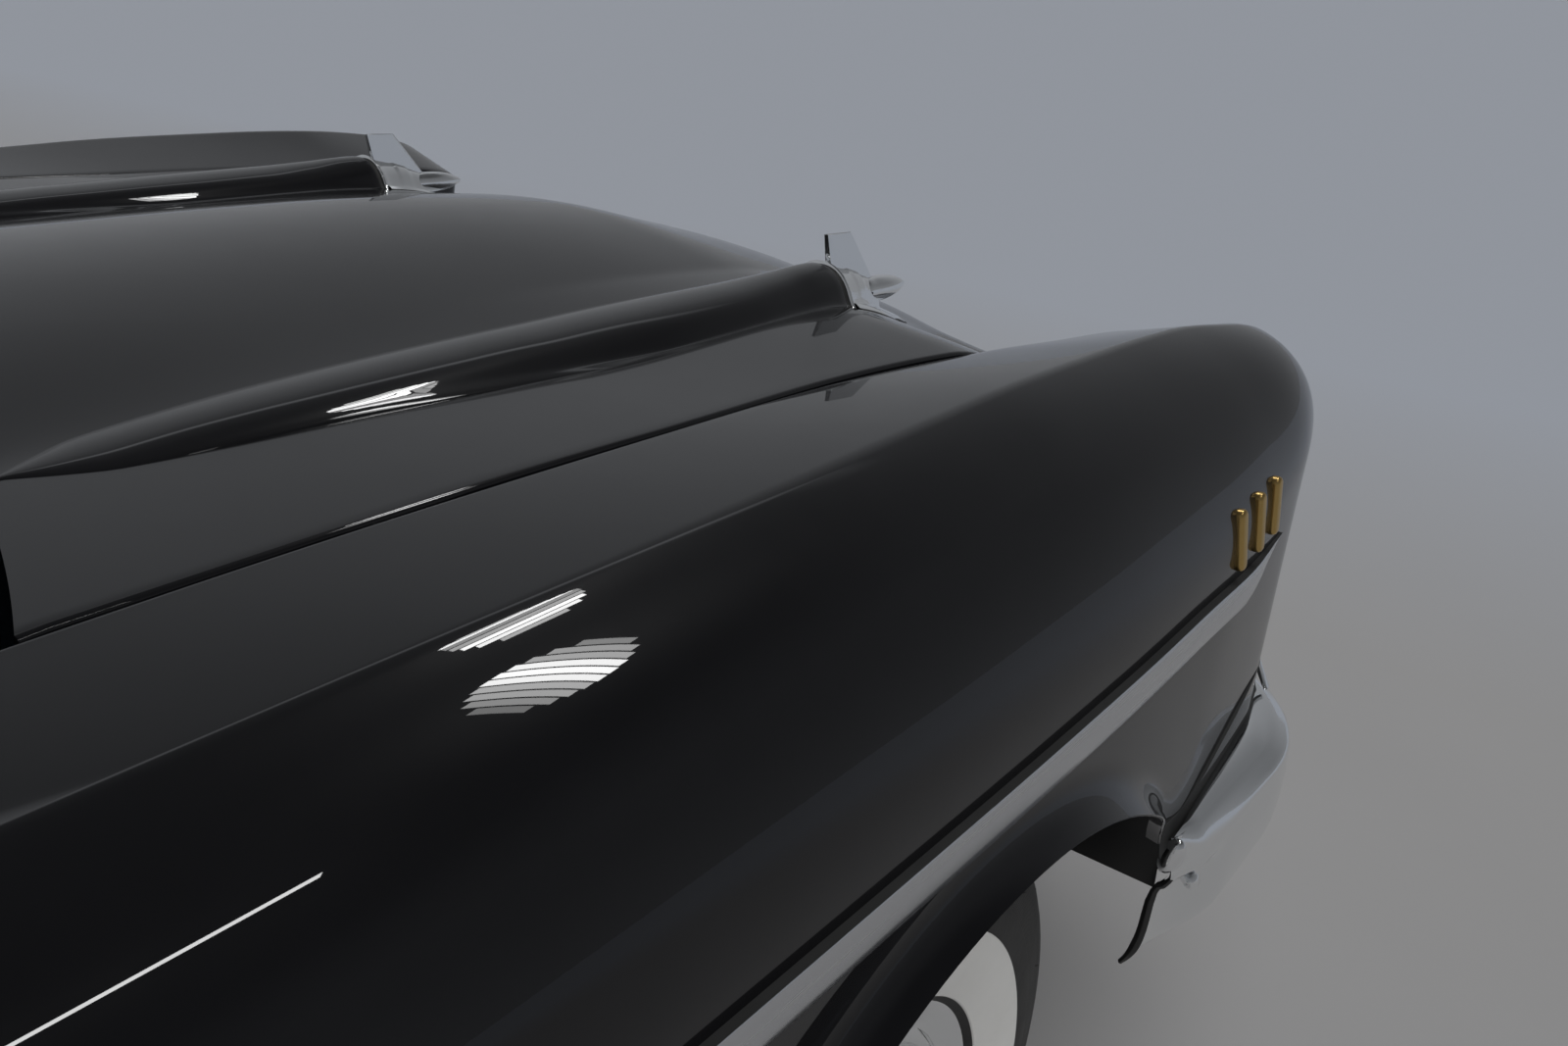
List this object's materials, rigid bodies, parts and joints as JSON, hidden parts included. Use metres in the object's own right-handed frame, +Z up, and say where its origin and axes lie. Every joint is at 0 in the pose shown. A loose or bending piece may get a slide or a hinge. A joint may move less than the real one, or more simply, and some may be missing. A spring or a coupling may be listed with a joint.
{
  "type": "1950s car front end",
  "caption": "Full-width front end of a 1950s car: fenders, opening hood, grille and bumper on a frame stub with steered wheels.",
  "frame": {"origin": "centre of the bolt holes at the rear ends of the two frame rails", "axes": "+Y backwards towards the cabin, +X the car's left, +Z up"},
  "size_m": [1.84, 1.8, 1.0138],
  "materials": {
    "black_paint": "deep gloss",
    "chrome": "polished",
    "bright_moulding": "satin",
    "gold_trim": "brushed",
    "grille_silver": "satin",
    "lens": "fluted clear",
    "chassis_black": "satin",
    "radiator_black": "matt",
    "engine_paint": "painted",
    "rubber": "plain",
    "tyre": "white sidewall",
    "wheel_paint": "gloss",
    "iron": "cast"
  },
  "bodies": {
    "frame": {"fender_left": "black_paint", "fender_right": "black_paint", "frame_rail_left": "chassis_black", "frame_rail_right": "chassis_black", "inner_fender_left": "chassis_black", "inner_fender_right": "chassis_black", "fender_marks": "gold_trim", "side_mouldings": "bright_moulding", "headlamps": "lens", "headlamp_rings": "chrome", "hinge_brackets": "chassis_black", "cowl_panel": "black_paint", "firewall": "chassis_black", "crossmember": "chassis_black", "lower_arms": "chassis_black", "upper_arms": "chassis_black", "coil_springs": "chassis_black", "bumper": "chrome", "bumper_brackets": "chassis_black", "bumper_guards": "chrome", "grille": "grille_silver", "grille_bar": "chrome", "grille_surround": "chrome", "front_valance": "black_paint", "radiator_support": "chassis_black", "radiator": "radiator_black", "engine": "engine_paint", "engine_mounts": "rubber"},
    "hood": {"hood_panel": "black_paint", "hood_hinge_arms": "chassis_black", "hood_ornaments": "chrome"},
    "knuckle_left_body": {"knuckle_left": "chassis_black"},
    "knuckle_right_body": {"knuckle_right": "chassis_black"},
    "wheel_left_body": {"tyre_left": "tyre", "wheel_left": "wheel_paint", "wheel_cover_left": "chrome", "brake_drum_left": "iron"},
    "wheel_right_body": {"tyre_right": "tyre", "wheel_right": "wheel_paint", "wheel_cover_right": "chrome", "brake_drum_right": "iron"},
    "track_rod_body": {"track_rod": "chassis_black"}
  },
  "joints": [
    {"name": "hood_hinge", "type": "hinge", "parent": "frame", "child": "hood", "pos_m": [0, -0.28, 0.545], "axis": [-1, 0, 0], "range_deg": [0, 45]},
    {"name": "steer_left", "type": "hinge", "parent": "frame", "child": "knuckle_left_body", "pos_m": [0.62, -0.8, -0.057], "axis": [0, 0, 1], "range_deg": [-28, 28]},
    {"name": "steer_right", "type": "hinge", "parent": "frame", "child": "knuckle_right_body", "pos_m": [-0.62, -0.8, -0.057], "axis": [0, 0, 1], "range_deg": [-28, 28]},
    {"name": "track_rod_pivot", "type": "hinge", "parent": "knuckle_left_body", "child": "track_rod_body", "pos_m": [0.62, -0.63, -0.121], "axis": [0, 0, 1], "range_deg": [-28, 28]},
    {"name": "wheel_left_spin", "type": "hinge", "parent": "knuckle_left_body", "child": "wheel_left_body", "pos_m": [0.7365, -0.8, -0.057], "axis": [1, 0, 0], "continuous": true},
    {"name": "wheel_right_spin", "type": "hinge", "parent": "knuckle_right_body", "child": "wheel_right_body", "pos_m": [-0.7365, -0.8, -0.057], "axis": [1, 0, 0], "continuous": true}
  ],
  "couplings": [
    {"joint": "steer_right", "follows": "steer_left", "ratio": 1},
    {"joint": "track_rod_pivot", "follows": "steer_left", "ratio": -1}
  ]
}
